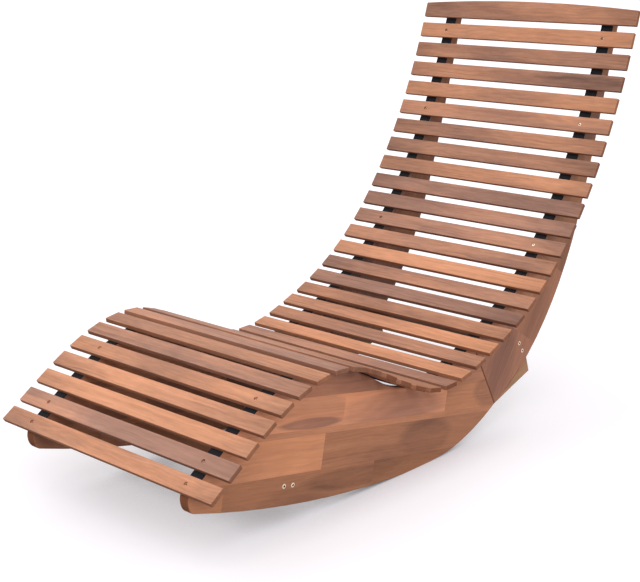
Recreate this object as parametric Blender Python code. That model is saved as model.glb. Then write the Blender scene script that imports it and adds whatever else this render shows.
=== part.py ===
# Outdoor rocking lounger: a curved bed of slats on two wooden rocker frames.
# Metres, +Z up. X runs along the slats, -Y is the foot end and +Y the head end.
# The origin lies on the floor, under the middle of the lounger's length.

import math

import bmesh
import bpy
import numpy as np
from mathutils import Matrix

for old_object in list(bpy.data.objects):
    bpy.data.objects.remove(old_object, do_unlink=True)

# Slats
SLAT_COUNT = 35
SLAT_LENGTH = 0.600
SLAT_WIDTH = 0.0355
SLAT_THICKNESS = 0.010
SLAT_ARRIS = 0.0012
HEAD_ARCH_RISE = 0.011

# Seat line: the slats' top faces seen from the side, by five curves between six knots
TOE_Y = -0.7137
TOE_Z = 0.1521
TOE_SLOPE = 33.7
CREST_Y = -0.3901
CREST_Z = 0.3081
HOLLOW_Y = -0.0590
HOLLOW_Z = 0.1951
THIGH_Y = 0.1197
THIGH_Z = 0.2460
THIGH_SLOPE = 22.5
LUMBAR_Y = 0.4025
LUMBAR_Z = 0.4699
LUMBAR_SLOPE = 53.2
HEAD_Y = 0.6145
HEAD_Z = 0.9085
HEAD_SLOPE = 73.1

# Webbing that carries the slats along the edge of each frame
STRAP_WIDTH = 0.030
STRAP_THICKNESS = 0.0015
STRAP_SETBACK = 0.006

# Frames: a rocker base and a back rail on each side, sawn to one outline
BOARD_THICKNESS = 0.022
BOARD_ARRIS = 0.0015
SLAT_OVERHANG = 0.078
REST_FLAT_FRONT_Y = -0.117
REST_FLAT_REAR_Y = 0.013
FRONT_ARC_RADIUS = 2.30
FRONT_ARC_START_SLOPE = 3.1
REAR_ARC_RADIUS = 0.53
REAR_ARC_START_SLOPE = 9.0
NOSE_SETBACK = 0.0075
NOSE_LENGTH = 0.010
NOSE_LEAN = 38.0
RELIEF_STATION = 0.622
RELIEF_REACH = 0.090
RELIEF_DEPTH = 0.004
JOINT_STATION = 0.8908
JOINT_SLOPE = 29.3
RAIL_HEAD_DEPTH = 0.028
RAIL_TAPER_POWER = 0.82

# Splice plates let into the inner faces across the joint
PLATE_THICKNESS = 0.011
PLATE_WIDTH = 0.065
PLATE_START_Y = 0.100
PLATE_LENGTH = 0.2655

# Cross rails between the frames
CROSS_RAIL_WIDTH = 0.056
CROSS_RAIL_THICKNESS = 0.020
CROSS_RAIL_EDGE = 0.0385
FRONT_CROSS_RAIL_Y = -0.464
REAR_CROSS_RAIL_REACH = 0.1285

# Frame screws, with hexagon sockets, through the boards into the cross rails' ends
FRAME_SCREW_RADIUS = 0.0030
FRAME_SCREW_HEAD_RADIUS = 0.0050
FRAME_SCREW_HEAD_HEIGHT = 0.0055
FRAME_SCREW_SOCKET_RADIUS = 0.0027
FRAME_SCREW_SOCKET_DEPTH = 0.0030
FRAME_SCREW_LENGTH = 0.058
FRAME_SCREW_SPACING = 0.024

# Slat screws, countersunk, through slat and webbing into the boards
SLAT_SCREW_RADIUS = 0.0020
SLAT_SCREW_HEAD_RADIUS = 0.0038
SLAT_SCREW_HEAD_HEIGHT = 0.0030
SLAT_SCREW_SOCKET_RADIUS = 0.0018
SLAT_SCREW_SOCKET_DEPTH = 0.0015
SLAT_SCREW_LENGTH = 0.032
SCREWED_SLATS = (1, 24, 34)

# Fits
CLEARANCE = 0.0003
CUTTER_MARGIN = 0.002
SHORTEST_EDGE = 0.004

# Smoothness of curved outlines and round pieces
KNOT_STEPS = 200
ARCH_STEPS = 14
FRONT_ARC_STEPS = 10
REAR_ARC_STEPS = 10
NOSE_STEPS = 8
RAIL_EDGE_STEPS = 22
SCREW_SIDES = 12
SOCKET_CORNERS = 6
SOFTENED_ANGLE = 40.0
SMOOTHED_ANGLE = 35.0
HALVINGS = 60


# Curves in the side view, as (y, z) points

def direction(degrees):
    angle = math.radians(degrees)
    return np.array((math.cos(angle), math.sin(angle)))


def curve_between(start, start_slope, end, end_slope, steps):
    """Points of a smooth curve that leaves and arrives at the given slopes."""
    start = np.asarray(start, float)
    end = np.asarray(end, float)
    pull = np.linalg.norm(end - start)
    u = np.linspace(0.0, 1.0, steps + 1)[:, None]
    return ((2 * u**3 - 3 * u**2 + 1) * start
            + (u**3 - 2 * u**2 + u) * pull * direction(start_slope)
            + (3 * u**2 - 2 * u**3) * end
            + (u**3 - u**2) * pull * direction(end_slope))


SEAT_KNOTS = (
    ((TOE_Y, TOE_Z), TOE_SLOPE),
    ((CREST_Y, CREST_Z), 0.0),
    ((HOLLOW_Y, HOLLOW_Z), 0.0),
    ((THIGH_Y, THIGH_Z), THIGH_SLOPE),
    ((LUMBAR_Y, LUMBAR_Z), LUMBAR_SLOPE),
    ((HEAD_Y, HEAD_Z), HEAD_SLOPE),
)
SEAT_CURVES = [
    curve_between(*here, *there, KNOT_STEPS)
    for here, there in zip(SEAT_KNOTS[:-1], SEAT_KNOTS[1:])
]
SEAT_POINTS = np.vstack([SEAT_CURVES[0]] + [curve[1:] for curve in SEAT_CURVES[1:]])
SEAT_STEPS = np.diff(SEAT_POINTS, axis=0)
SEAT_STATIONS = np.concatenate(([0.0], np.cumsum(np.hypot(*SEAT_STEPS.T))))
SEAT_SLOPES = np.arctan2(*np.gradient(SEAT_POINTS, axis=0).T[::-1])
SEAT_LENGTH = SEAT_STATIONS[-1]
SLAT_PITCH = (SEAT_LENGTH - SLAT_WIDTH) / (SLAT_COUNT - 1)


def seat_frame(station):
    """Point on the seat line, its slope in radians, its tangent and its upward normal."""
    point = np.array([np.interp(station, SEAT_STATIONS, axis) for axis in SEAT_POINTS.T])
    slope = float(np.interp(station, SEAT_STATIONS, SEAT_SLOPES))
    tangent = np.array((math.cos(slope), math.sin(slope)))
    normal = np.array((-math.sin(slope), math.cos(slope)))
    return point, slope, tangent, normal


def slat_station(number):
    return SLAT_WIDTH / 2 + (number - 1) * SLAT_PITCH


def slat_frame(number):
    return seat_frame(slat_station(number))


def relief_share(station):
    """From 0 to 1 in the hollow, where the boards draw back and the webbing carries the slats."""
    away = min(abs(station - RELIEF_STATION) / RELIEF_REACH, 1.0)
    return (1 + math.cos(math.pi * away)) / 2


def under_slats(depth, relief=0.0):
    """The line that lies flat under each slat and runs straight across each gap."""
    points = []
    for number in range(1, SLAT_COUNT + 1):
        centre, slope, tangent, normal = slat_frame(number)
        front = SLAT_WIDTH / 2 - (STRAP_SETBACK if number == 1 else 0.0)
        rear = SLAT_WIDTH / 2 - (STRAP_SETBACK if number == SLAT_COUNT else 0.0)
        for offset in (-front, rear):
            drop = depth + relief * relief_share(slat_station(number) + offset)
            points.append(centre + offset * tangent - drop * normal)
    return points


def arc_height(y, start_y, start_slope, radius):
    """Height of a rocker arc that rises away from the resting flat."""
    lean = math.sin(math.radians(start_slope))
    return radius * (math.sqrt(1 - lean**2) - math.sqrt(1 - (lean + abs(y - start_y) / radius)**2))


def rocker_height(y):
    if y < REST_FLAT_FRONT_Y:
        return arc_height(y, REST_FLAT_FRONT_Y, FRONT_ARC_START_SLOPE, FRONT_ARC_RADIUS)
    if y > REST_FLAT_REAR_Y:
        return arc_height(y, REST_FLAT_REAR_Y, REAR_ARC_START_SLOPE, REAR_ARC_RADIUS)
    return 0.0


def rocker_point(y):
    return np.array((y, rocker_height(y)))


def rocker_slope(y):
    """Slope of the rocker's lower edge in degrees."""
    if y < REST_FLAT_FRONT_Y:
        lean = math.sin(math.radians(FRONT_ARC_START_SLOPE))
        return -math.degrees(math.asin(lean + (REST_FLAT_FRONT_Y - y) / FRONT_ARC_RADIUS))
    if y > REST_FLAT_REAR_Y:
        lean = math.sin(math.radians(REAR_ARC_START_SLOPE))
        return math.degrees(math.asin(lean + (y - REST_FLAT_REAR_Y) / REAR_ARC_RADIUS))
    return 0.0


# Joint between base and back rail: a straight saw cut, from the seat line to the rocker's edge

JOINT_TOP = seat_frame(JOINT_STATION)[0]
JOINT_NORMAL = direction(JOINT_SLOPE)


def past_joint(point):
    """How far a point lies on the head side of the joint."""
    return float((point - JOINT_TOP) @ JOINT_NORMAL)


def joint_corner():
    """Where the joint meets the rocker's lower edge, by halving."""
    low = REST_FLAT_REAR_Y
    high = REST_FLAT_REAR_Y + REAR_ARC_RADIUS * (1 - math.sin(math.radians(REAR_ARC_START_SLOPE)))
    for _ in range(HALVINGS):
        middle = (low + high) / 2
        if past_joint(rocker_point(middle)) < 0:
            low = middle
        else:
            high = middle
    return rocker_point(low)


JOINT_CORNER = joint_corner()


def nearest_station(point):
    return float(SEAT_STATIONS[np.argmin(np.hypot(*(SEAT_POINTS - point).T))])


# Depths below the slats' top faces
STRAP_TOP_DEPTH = SLAT_THICKNESS + CLEARANCE
BOARD_TOP_DEPTH = STRAP_TOP_DEPTH + STRAP_THICKNESS + CLEARANCE

RAIL_START = nearest_station(JOINT_CORNER)
RAIL_END = SEAT_LENGTH - STRAP_SETBACK
RAIL_START_DEPTH = float(np.linalg.norm(JOINT_CORNER - seat_frame(RAIL_START)[0]))
RAIL_END_DEPTH = BOARD_TOP_DEPTH + RAIL_HEAD_DEPTH


def rail_edge(station):
    """Point on the rail's rear edge, which draws in from the joint to the head."""
    along = (station - RAIL_START) / (RAIL_END - RAIL_START)
    swell = (1 + math.cos(math.pi * max(along, 0.0) ** RAIL_TAPER_POWER)) / 2
    depth = RAIL_END_DEPTH + (RAIL_START_DEPTH - RAIL_END_DEPTH) * swell
    point, slope, tangent, normal = seat_frame(station)
    return point - depth * normal


def frame_outline():
    """Base and back rail as one closed outline, from the nose over the top and back below."""
    top = under_slats(BOARD_TOP_DEPTH, RELIEF_DEPTH)
    nose_top = top[0] + (NOSE_SETBACK - STRAP_SETBACK) * slat_frame(1)[2]
    nose_end = nose_top[0] + NOSE_LENGTH
    rear = [rail_edge(s) for s in np.linspace(RAIL_END, RAIL_START, RAIL_EDGE_STEPS + 1)[:-1]]
    under_joint = np.linspace(JOINT_CORNER[0], REST_FLAT_REAR_Y, REAR_ARC_STEPS + 1)
    under_foot = np.linspace(REST_FLAT_FRONT_Y, nose_end, FRONT_ARC_STEPS + 1)
    lower = [rocker_point(y) for y in (*under_joint, *under_foot)]
    heading = rocker_slope(nose_end) + 180
    nose = curve_between(lower[-1], heading, nose_top, 90 - NOSE_LEAN, NOSE_STEPS)[1:-1]
    return [nose_top, *top[1:], *rear, *lower, *nose]


def cut_at_joint(outline, side):
    """The part of an outline on one side of the joint: side is -1 for the base, 1 for the rail.

    A point that would leave a very short edge beside the saw cut is left out.
    """
    kept = []
    for here, there in zip(outline, outline[1:] + outline[:1]):
        near = side * past_joint(here) - CLEARANCE / 2
        far = side * past_joint(there) - CLEARANCE / 2
        if near >= SHORTEST_EDGE:
            kept.append(here)
        if (near < 0) != (far < 0):
            kept.append(here + (there - here) * near / (near - far))
    return kept


def rectangle(corner, slope, length, width, grow=0.0):
    """Corners of a rectangle that starts at a corner and runs along a slope."""
    along = direction(slope)
    across = direction(slope + 90)
    places = ((-grow, -grow), (length + grow, -grow), (length + grow, width + grow), (-grow, width + grow))
    return [corner + a * along + b * across for a, b in places]


# Objects and meshes

ROOT = bpy.data.objects.new("lounger", None)
bpy.context.collection.objects.link(ROOT)


def finish(name, red, green, blue, roughness, metallic=0.0):
    material = bpy.data.materials.new(name)
    material.use_nodes = True
    shader = material.node_tree.nodes["Principled BSDF"]
    shader.inputs["Base Color"].default_value = (red, green, blue, 1.0)
    shader.inputs["Roughness"].default_value = roughness
    shader.inputs["Metallic"].default_value = metallic
    return material


def add_object(name, mesh, material=None):
    """A piece with a material, or a hidden cutter without one."""
    piece = bpy.data.objects.new(name, mesh)
    bpy.context.collection.objects.link(piece)
    piece.parent = ROOT
    if material is None:
        piece.hide_render = True
        piece.display_type = "WIRE"
    elif not mesh.materials:
        mesh.materials.append(material)
    return piece


def mesh_from(name, bm):
    bmesh.ops.recalc_face_normals(bm, faces=bm.faces)
    mesh = bpy.data.meshes.new(name)
    bm.to_mesh(mesh)
    bm.free()
    return mesh


def prism(name, outline, x_low, x_high):
    """A side-view outline with thickness along X."""
    bm = bmesh.new()
    rings = [[bm.verts.new((x, y, z)) for y, z in outline] for x in (x_low, x_high)]
    for ring in rings:
        bm.faces.new(ring)
    for i in range(len(outline)):
        j = (i + 1) % len(outline)
        bm.faces.new((rings[0][i], rings[0][j], rings[1][j], rings[1][i]))
    return mesh_from(name, bm)


def soften(piece, width):
    bevel = piece.modifiers.new("softened_edges", "BEVEL")
    bevel.width = width
    bevel.segments = 1
    bevel.limit_method = "ANGLE"
    bevel.angle_limit = math.radians(SOFTENED_ANGLE)


def cut(piece, cutter):
    boolean = piece.modifiers.new("cut_" + cutter.name, "BOOLEAN")
    boolean.operation = "DIFFERENCE"
    boolean.solver = "EXACT"
    boolean.object = cutter


def turn(bm, profile, place=None):
    """A closed turned solid of (radius, height, corners) rings. A ring with 0 corners is round."""
    rings = []
    for radius, height, corners in profile:
        ring = []
        for k in range(SCREW_SIDES):
            angle = 2 * math.pi * k / SCREW_SIDES
            reach = radius
            if corners:
                sector = 2 * math.pi / corners
                reach = radius * math.cos(sector / 2) / math.cos(angle % sector - sector / 2)
            ring.append(bm.verts.new((reach * math.cos(angle), reach * math.sin(angle), height)))
        rings.append(ring)
    for low, high in zip(rings[:-1], rings[1:]):
        for k in range(SCREW_SIDES):
            n = (k + 1) % SCREW_SIDES
            bm.faces.new((low[k], low[n], high[n], high[k]))
    bm.faces.new(rings[0])
    bm.faces.new(rings[-1])
    if place:
        bmesh.ops.transform(bm, matrix=place, verts=[vert for ring in rings for vert in ring])


def screw_mesh(name, body, socket_radius, socket_depth):
    """A screw whose head lies just below height 0, with a hexagon socket in it."""
    top = body[-1][1]
    bm = bmesh.new()
    mouth = (socket_radius, top, SOCKET_CORNERS)
    floor = (socket_radius, top - socket_depth, SOCKET_CORNERS)
    turn(bm, (*body, mouth, floor))
    mesh = mesh_from(name, bm)
    mesh.shade_smooth()
    mesh.set_sharp_from_angle(angle=math.radians(SMOOTHED_ANGLE))
    return mesh


def screw_holes(name, body, places):
    """One cutter with a hole for each screw, a clearance wider and deeper than its body."""
    hole = [(radius + CLEARANCE, height - CLEARANCE, 0) for radius, height, corners in body]
    hole.append((hole[-1][0], CUTTER_MARGIN, 0))
    bm = bmesh.new()
    for place in places.values():
        turn(bm, hole, place)
    return add_object(name, mesh_from(name, bm))


def add_screws(mesh, places, material):
    for name, place in places.items():
        add_object(name, mesh, material).matrix_basis = place


def place_on_side_view(x, point, slope):
    """X stays along the slats, Y runs along the slope and Z is the upward normal."""
    return Matrix.Translation((x, point[0], point[1])) @ Matrix.Rotation(slope, 4, "X")


# Finishes

slat_wood = finish("slat_wood", 0.52, 0.27, 0.16, 0.5)
board_wood = finish("board_wood", 0.40, 0.20, 0.11, 0.5)
rail_wood = finish("cross_rail_wood", 0.36, 0.18, 0.10, 0.55)
plate_wood = finish("plate_wood", 0.46, 0.28, 0.14, 0.55)
webbing = finish("webbing", 0.012, 0.012, 0.014, 0.9)
zinc = finish("zinc_plate", 0.72, 0.70, 0.66, 0.35, 1.0)

SIDES = (("left", 1), ("right", -1))
FRAME_OFFSET = SLAT_LENGTH / 2 - SLAT_OVERHANG
BOARD_INNER_X = FRAME_OFFSET - BOARD_THICKNESS / 2
BOARD_OUTER_X = FRAME_OFFSET + BOARD_THICKNESS / 2


# Slat screws: countersunk heads in the slats, shanks through the webbing into the boards

SLAT_SCREW = (
    (SLAT_SCREW_RADIUS, -SLAT_SCREW_LENGTH, 0),
    (SLAT_SCREW_RADIUS, -CLEARANCE - SLAT_SCREW_HEAD_HEIGHT, 0),
    (SLAT_SCREW_HEAD_RADIUS, -CLEARANCE, 0),
)
slat_screw_places = {}
for number in SCREWED_SLATS:
    centre, slope, tangent, normal = slat_frame(number)
    for side_name, side in SIDES:
        place = place_on_side_view(side * FRAME_OFFSET, centre, slope)
        slat_screw_places[f"slat_screw_{number:02d}_{side_name}"] = place
slat_screw = screw_mesh("slat_screw", SLAT_SCREW, SLAT_SCREW_SOCKET_RADIUS, SLAT_SCREW_SOCKET_DEPTH)
add_screws(slat_screw, slat_screw_places, zinc)
slat_screw_holes = screw_holes("slat_screw_holes", SLAT_SCREW, slat_screw_places)


# Slats: one straight pattern, and a head slat with an arched top edge

def slat_mesh():
    bm = bmesh.new()
    bmesh.ops.create_cube(bm, size=1.0)
    bmesh.ops.scale(bm, vec=(SLAT_LENGTH, SLAT_WIDTH, SLAT_THICKNESS), verts=bm.verts)
    bmesh.ops.bevel(bm, geom=bm.edges[:], offset=SLAT_ARRIS, segments=1, affect="EDGES")
    return mesh_from("slat", bm)


def head_slat_mesh():
    half = SLAT_LENGTH / 2
    outline = [(-half, -SLAT_WIDTH / 2), (half, -SLAT_WIDTH / 2)]
    for x in np.linspace(half, -half, ARCH_STEPS + 1):
        outline.append((x, SLAT_WIDTH / 2 + HEAD_ARCH_RISE * (1 - (x / half) ** 2)))
    bm = bmesh.new()
    bottom = bm.faces.new([bm.verts.new((x, y, -SLAT_THICKNESS / 2)) for x, y in outline])
    raised = bmesh.ops.extrude_face_region(bm, geom=[bottom])["geom"]
    top = [item for item in raised if isinstance(item, bmesh.types.BMVert)]
    bmesh.ops.translate(bm, vec=(0, 0, SLAT_THICKNESS), verts=top)
    return mesh_from("head_slat", bm)


plain_slat = slat_mesh()
for number in range(1, SLAT_COUNT + 1):
    centre, slope, tangent, normal = slat_frame(number)
    is_head = number == SLAT_COUNT
    slat = add_object(f"slat_{number:02d}", head_slat_mesh() if is_head else plain_slat, slat_wood)
    middle = centre - normal * SLAT_THICKNESS / 2
    slat.location = (0, middle[0], middle[1])
    slat.rotation_euler = (slope, 0, 0)
    if is_head:
        soften(slat, SLAT_ARRIS)
    if number in SCREWED_SLATS:
        cut(slat, slat_screw_holes)


# Webbing straps: flat under each slat, on the top edge of each frame

def strap_mesh(name, side):
    upper = under_slats(STRAP_TOP_DEPTH)
    lower = under_slats(STRAP_TOP_DEPTH + STRAP_THICKNESS)
    inner = side * (FRAME_OFFSET - STRAP_WIDTH / 2)
    outer = side * (FRAME_OFFSET + STRAP_WIDTH / 2)
    bm = bmesh.new()
    sections = []
    for high, low in zip(upper, lower):
        corners = ((inner, high), (outer, high), (outer, low), (inner, low))
        sections.append([bm.verts.new((x, point[0], point[1])) for x, point in corners])
    for here, there in zip(sections[:-1], sections[1:]):
        for k in range(4):
            n = (k + 1) % 4
            bm.faces.new((here[k], here[n], there[n], there[k]))
    bm.faces.new(sections[0])
    bm.faces.new(sections[-1])
    return mesh_from(name, bm)


for side_name, side in SIDES:
    strap = add_object("strap_" + side_name, strap_mesh("strap_" + side_name, side), webbing)
    cut(strap, slat_screw_holes)


# Cross rails and the frame screws in their ends

def front_cross_rail_middle():
    """Centre of the front cross rail, in from the rocker's edge, and its slope in radians."""
    slope = math.radians(rocker_slope(FRONT_CROSS_RAIL_Y))
    up = np.array((-math.sin(slope), math.cos(slope)))
    return rocker_point(FRONT_CROSS_RAIL_Y) + CROSS_RAIL_EDGE * up, slope


def rear_cross_rail_middle():
    """The same for the rear cross rail, which stands square to the rail's rear edge."""
    station = JOINT_STATION + REAR_CROSS_RAIL_REACH
    point, slope, tangent, normal = seat_frame(station)
    return rail_edge(station) + CROSS_RAIL_EDGE * normal, slope - math.pi / 2


CROSS_RAILS = {"front": front_cross_rail_middle(), "rear": rear_cross_rail_middle()}
FRAME_SCREW = (
    (FRAME_SCREW_RADIUS, -FRAME_SCREW_LENGTH, 0),
    (FRAME_SCREW_RADIUS, -FRAME_SCREW_HEAD_HEIGHT, 0),
    (FRAME_SCREW_HEAD_RADIUS, -FRAME_SCREW_HEAD_HEIGHT, 0),
    (FRAME_SCREW_HEAD_RADIUS, -CLEARANCE, 0),
)
frame_screw_places = {}
for end_name, (middle, slope) in CROSS_RAILS.items():
    for side_name, side in SIDES:
        outward = Matrix.Rotation(side * math.pi / 2, 4, "Y")
        for number, offset in ((1, -FRAME_SCREW_SPACING / 2), (2, FRAME_SCREW_SPACING / 2)):
            spot = middle + offset * direction(math.degrees(slope))
            place = Matrix.Translation((side * BOARD_OUTER_X, *spot)) @ outward
            frame_screw_places[f"frame_screw_{end_name}_{side_name}_{number}"] = place
frame_screw = screw_mesh("frame_screw", FRAME_SCREW,
                         FRAME_SCREW_SOCKET_RADIUS, FRAME_SCREW_SOCKET_DEPTH)
add_screws(frame_screw, frame_screw_places, zinc)
frame_screw_holes = screw_holes("frame_screw_holes", FRAME_SCREW, frame_screw_places)

for end_name, (middle, slope) in CROSS_RAILS.items():
    name = end_name + "_cross_rail"
    along = math.degrees(slope)
    corner = (middle - direction(along) * CROSS_RAIL_WIDTH / 2
              - direction(along + 90) * CROSS_RAIL_THICKNESS / 2)
    outline = rectangle(corner, along, CROSS_RAIL_WIDTH, CROSS_RAIL_THICKNESS)
    reach = BOARD_INNER_X - CLEARANCE
    cross_rail = add_object(name, prism(name, outline, -reach, reach), rail_wood)
    soften(cross_rail, BOARD_ARRIS)
    cut(cross_rail, frame_screw_holes)


# Splice plates: straight, with the lower edge along the rocker's tangent, past the joint

PLATE_SLOPE = rocker_slope(PLATE_START_Y)
PLATE_CORNER = rocker_point(PLATE_START_Y)
PLATE_OUTER_X = BOARD_INNER_X + PLATE_THICKNESS

plate_pockets = {}
for side_name, side in SIDES:
    name = "splice_plate_" + side_name
    outline = rectangle(PLATE_CORNER, PLATE_SLOPE, PLATE_LENGTH, PLATE_WIDTH)
    shape = prism(name, outline, side * BOARD_INNER_X, side * PLATE_OUTER_X)
    plate = add_object(name, shape, plate_wood)
    soften(plate, BOARD_ARRIS)
    cut(plate, frame_screw_holes)
    name = "plate_pocket_" + side_name
    outline = rectangle(PLATE_CORNER, PLATE_SLOPE, PLATE_LENGTH, PLATE_WIDTH, CLEARANCE)
    near_x = side * (BOARD_INNER_X - CUTTER_MARGIN)
    far_x = side * (PLATE_OUTER_X + CLEARANCE)
    plate_pockets[side_name] = add_object(name, prism(name, outline, near_x, far_x))


# Frame boards: one outline sawn at the joint into a rocker base and a back rail

OUTLINE = frame_outline()
for side_name, side in SIDES:
    for board_name, joint_side in (("base_panel_", -1), ("back_rail_", 1)):
        name = board_name + side_name
        outline = cut_at_joint(OUTLINE, joint_side)
        shape = prism(name, outline, side * BOARD_INNER_X, side * BOARD_OUTER_X)
        board = add_object(name, shape, board_wood)
        soften(board, BOARD_ARRIS)
        cut(board, plate_pockets[side_name])
        cut(board, frame_screw_holes)
        cut(board, slat_screw_holes)


# Origin: the middle of the lounger's length goes to Y = 0

def length_span():
    """Lowest and highest Y of all pieces, with their softened edges."""
    bpy.context.view_layer.update()
    depsgraph = bpy.context.evaluated_depsgraph_get()
    reach = []
    for piece in bpy.data.objects:
        if piece.type == "MESH" and not piece.hide_render:
            shape = piece.evaluated_get(depsgraph)
            reach.extend((shape.matrix_world @ vertex.co).y for vertex in shape.data.vertices)
    return min(reach), max(reach)


foot_end, head_end = length_span()
ROOT.location = (0, -(foot_end + head_end) / 2, 0)
bpy.context.view_layer.update()
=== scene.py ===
# %% [markdown]
# # A rocking lounger of oiled hardwood slats
# The real thing is a garden lounger: thirty-five flat slats lie in one long wave on two
# wooden rocker frames, held in step by black webbing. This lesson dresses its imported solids.
# Everything is in metres. X runs along the slats, +X is the side nearest the camera,
# -Y is the foot end and +Y the head end.

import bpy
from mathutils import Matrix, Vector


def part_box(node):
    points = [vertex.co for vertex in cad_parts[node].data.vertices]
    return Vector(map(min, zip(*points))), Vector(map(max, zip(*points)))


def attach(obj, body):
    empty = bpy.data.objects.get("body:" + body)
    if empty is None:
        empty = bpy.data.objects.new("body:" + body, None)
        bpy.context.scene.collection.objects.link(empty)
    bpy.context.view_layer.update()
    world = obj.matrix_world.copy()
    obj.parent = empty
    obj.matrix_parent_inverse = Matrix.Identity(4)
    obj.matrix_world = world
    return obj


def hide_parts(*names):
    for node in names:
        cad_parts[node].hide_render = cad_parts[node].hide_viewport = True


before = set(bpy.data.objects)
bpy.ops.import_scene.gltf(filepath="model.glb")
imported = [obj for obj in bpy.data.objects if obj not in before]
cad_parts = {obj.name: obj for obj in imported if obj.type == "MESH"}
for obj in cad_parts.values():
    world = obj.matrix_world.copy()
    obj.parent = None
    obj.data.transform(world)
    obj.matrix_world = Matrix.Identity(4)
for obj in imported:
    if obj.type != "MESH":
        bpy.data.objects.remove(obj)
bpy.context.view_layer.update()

# %% [markdown]
# ## Camera
# The photograph looks down on the lounger from the foot end, a little over a metre up.
# A camera could be placed by eye, but here its place and lens were worked out from the
# straight edges of the slats, so that a piece can be compared with the picture pixel by pixel.

# %% Camera at the photograph's angle
import math

import bmesh
import bpy
import numpy as np
from mathutils import Matrix, Vector

CAMERA_PLACE = (1.7894, -2.0372, 1.0585)
CAMERA_TILT, CAMERA_TURN = math.radians(74.9754), math.radians(42.5114)
LENS, SENSOR_WIDTH = 73.31, 36.0

scene = bpy.context.scene
camera = bpy.data.objects.new("foot_end_view", bpy.data.cameras.new("foot_end_view"))
scene.collection.objects.link(camera)
camera.location = CAMERA_PLACE
camera.rotation_euler = (CAMERA_TILT, 0.0, CAMERA_TURN)
camera.data.lens = LENS
camera.data.sensor_width = SENSOR_WIDTH
camera.data.sensor_fit = "HORIZONTAL"
scene.camera = camera
scene.view_settings.view_transform = "Standard"
print("camera", CAMERA_PLACE, "lens", LENS)

# %% [markdown]
# ## Node helpers
# A material is a small net of nodes. Making each node by hand takes four or five lines, so
# these helpers make a node, fill in its sockets, and take either a plain value or the output
# of another node for each socket.

# %% Helpers that lay nodes
def lay_node(tree, kind, sockets=None, **settings):
    node = tree.nodes.new(kind)
    for name, value in settings.items():
        setattr(node, name, value)
    for name, value in (sockets or {}).items():
        if isinstance(value, bpy.types.NodeSocket):
            tree.links.new(value, node.inputs[name])
        else:
            node.inputs[name].default_value = value
    return node


def maths(tree, operation, *values):
    node = lay_node(tree, "ShaderNodeMath", dict(enumerate(values)), operation=operation)
    return node.outputs[0]


def remap(tree, value, low, high, to_low=0.0, to_high=1.0):
    sockets = {"Value": value, "From Min": low, "From Max": high,
               "To Min": to_low, "To Max": to_high}
    return lay_node(tree, "ShaderNodeMapRange", sockets).outputs["Result"]


MIX_A, MIX_B, MIX_RESULT = 6, 7, 2


def mix_colours(tree, factor, first, second):
    sockets = {0: factor, MIX_A: first, MIX_B: second}
    return lay_node(tree, "ShaderNodeMix", sockets, data_type="RGBA").outputs[MIX_RESULT]


def read_mark(tree, name, output="Fac"):
    return lay_node(tree, "ShaderNodeAttribute", attribute_name=name).outputs[output]


def new_material(name):
    material = bpy.data.materials.new(name)
    material.use_nodes = True
    return material, material.node_tree, material.node_tree.nodes["Principled BSDF"]


print("node helpers ready")

# %% [markdown]
# ## Floor and light
# The picture was taken on white paper among large soft lamps, with pale walls behind them. One
# wide lamp would do, but then the shadow falls on one side only. Three lamps gave the best
# match of the wood and the floor together: one high at the front right, one low at the right
# and a weaker one at the left, with a faint white sky for the walls. The paper also glows for
# the camera, which is painted light that keeps shadows on it pale. Where the lounger stands over
# it, measured once close by and once all round, the glow is dimmed, which paints the dark shadow
# line along the rockers. The paper sends back less light than real paper would, because in the
# picture the undersides of the slats stay dark.

# %% White paper floor
PAPER_REACH = 60.0
PAPER_SEEN = (0.515, 0.505, 0.55, 1.0)
PAPER_BOUNCE = (0.12, 0.11, 0.11, 1.0)
PAINTED_GLOW_TONE = (1.0, 0.97, 0.975, 1.0)
PAINTED_GLOW_BY_REACH = {0.10: 0.39, 3.0: 0.355}
OPENNESS_SAMPLES = 5


def seen_directly(tree):
    """1 for what the camera sees, also in metal or through glass, and 0 for light sent back."""
    path = lay_node(tree, "ShaderNodeLightPath").outputs
    seen = maths(tree, "MAXIMUM", path["Is Camera Ray"], path["Is Glossy Ray"])
    return maths(tree, "MAXIMUM", seen, path["Is Transmission Ray"])


def openness(tree, reach):
    """1 where nothing stands over the paper within the reach, and less beside a piece, where the
    glow gives way to painted shadow.
    """
    node = lay_node(tree, "ShaderNodeAmbientOcclusion", {"Distance": reach},
                    samples=OPENNESS_SAMPLES)
    return node.outputs["AO"]


paper, tree, shader = new_material("white_paper")
seen = seen_directly(tree)
tree.links.new(mix_colours(tree, seen, PAPER_BOUNCE, PAPER_SEEN), shader.inputs["Base Color"])
# The paper's glow is painted light; where the lounger stands close over it, the dimmed glow is a
# painted shadow.
painted_glow = 0.0
for reach, level in PAINTED_GLOW_BY_REACH.items():
    painted_glow = maths(tree, "MULTIPLY_ADD", openness(tree, reach), level, painted_glow)
tree.links.new(maths(tree, "MULTIPLY", painted_glow, seen), shader.inputs["Emission Strength"])
shader.inputs["Emission Color"].default_value = PAINTED_GLOW_TONE
shader.inputs["Roughness"].default_value = 1.0
shader.inputs["Specular IOR Level"].default_value = 0.0

bm = bmesh.new()
bmesh.ops.create_grid(bm, x_segments=1, y_segments=1, size=PAPER_REACH)
paper_mesh = bpy.data.meshes.new("paper_floor")
bm.to_mesh(paper_mesh)
bm.free()
paper_floor = bpy.data.objects.new("paper_floor", paper_mesh)
paper_floor.data.materials.append(paper)
scene.collection.objects.link(paper_floor)
print("paper floor", PAPER_REACH * 2, "m wide")

# %% White sky and three wide lamps
WHITE = (1.0, 1.0, 1.0, 1.0)
SKY_LEVEL = 0.36
LAMP_SPREAD = math.radians(45)
LAMPS = {
    "front_right_lamp": (Vector((0.50, -0.52, 0.69)), 0.37),
    "low_right_lamp": (Vector((0.93, -0.20, 0.30)), 0.29),
    "left_lamp": (Vector((-0.55, -0.35, 0.76)), 0.21),
}

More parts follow.
